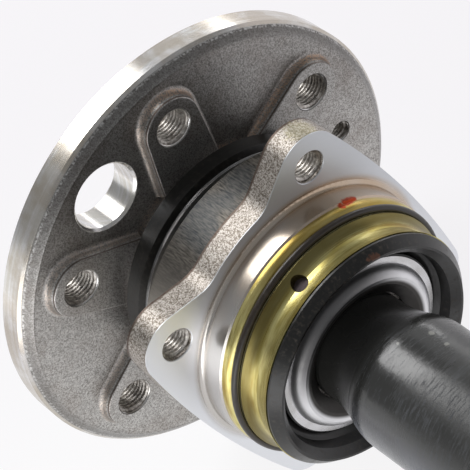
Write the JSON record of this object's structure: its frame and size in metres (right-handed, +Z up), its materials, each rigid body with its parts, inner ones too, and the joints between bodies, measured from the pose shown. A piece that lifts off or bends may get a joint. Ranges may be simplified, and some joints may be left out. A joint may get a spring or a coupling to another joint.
{
  "type": "drive shaft",
  "caption": "Rear axle half shaft with bolted wheel hub, tapered roller hub bearing unit, four-eared axle flange and seals.",
  "frame": {"origin": "centre of the wheel mounting face, on the axis of rotation", "axes": "+X along the axis of rotation from the wheel inboard, +Z up between the two upper ears of the axle flange, +Y to the side"},
  "size_m": [0.809, 0.173, 0.173],
  "materials": {
    "forged_steel": "rough dark forging with bright machined rim, holes and collar",
    "machined_steel": "machined, lightly oiled",
    "race_steel": "ground",
    "cage_plastic": "moulded",
    "seal_rubber": "black, satin",
    "yellow_zinc": "yellow passivated zinc",
    "black_shaft": "satin black paint"
  },
  "bodies": {
    "bearing_housing": {"outer_ring": "machined_steel", "wheel_seal_case": "race_steel", "wheel_seal_lips": "seal_rubber", "inboard_seal_case": "race_steel", "inboard_seal_lips": "seal_rubber", "seal_carrier": "yellow_zinc", "carrier_o_ring": "seal_rubber", "axle_seal_case": "race_steel", "axle_seal_lip": "seal_rubber", "garter_spring": "race_steel"},
    "hub": {"hub_flange": "forged_steel", "outboard_inner_ring": "race_steel", "inboard_inner_ring": "race_steel", "wheel_seal_flinger": "race_steel", "inboard_flinger": "race_steel", "encoder_ring": "seal_rubber", "stub_shaft": "black_shaft", "shaft_tube": "black_shaft", "inboard_stub": "black_shaft", "retaining_ring": "race_steel", "axle_bolt": "race_steel", "axle_washer": "race_steel"},
    "outboard_row": {"outboard_rollers": "race_steel", "outboard_cage": "cage_plastic"},
    "inboard_row": {"inboard_rollers": "race_steel", "inboard_cage": "cage_plastic"}
  },
  "joints": [
    {"name": "hub_spin", "type": "hinge", "parent": "bearing_housing", "child": "hub", "pos_m": [0.054, 0, 0], "axis": [1, 0, 0], "continuous": true},
    {"name": "outboard_row_spin", "type": "hinge", "parent": "bearing_housing", "child": "outboard_row", "pos_m": [0.0445, 0, 0], "axis": [1, 0, 0], "continuous": true},
    {"name": "inboard_row_spin", "type": "hinge", "parent": "bearing_housing", "child": "inboard_row", "pos_m": [0.0635, 0, 0], "axis": [1, 0, 0], "continuous": true}
  ],
  "couplings": [
    {"joint": "outboard_row_spin", "follows": "hub_spin", "ratio": 0.449},
    {"joint": "inboard_row_spin", "follows": "hub_spin", "ratio": 0.449}
  ]
}
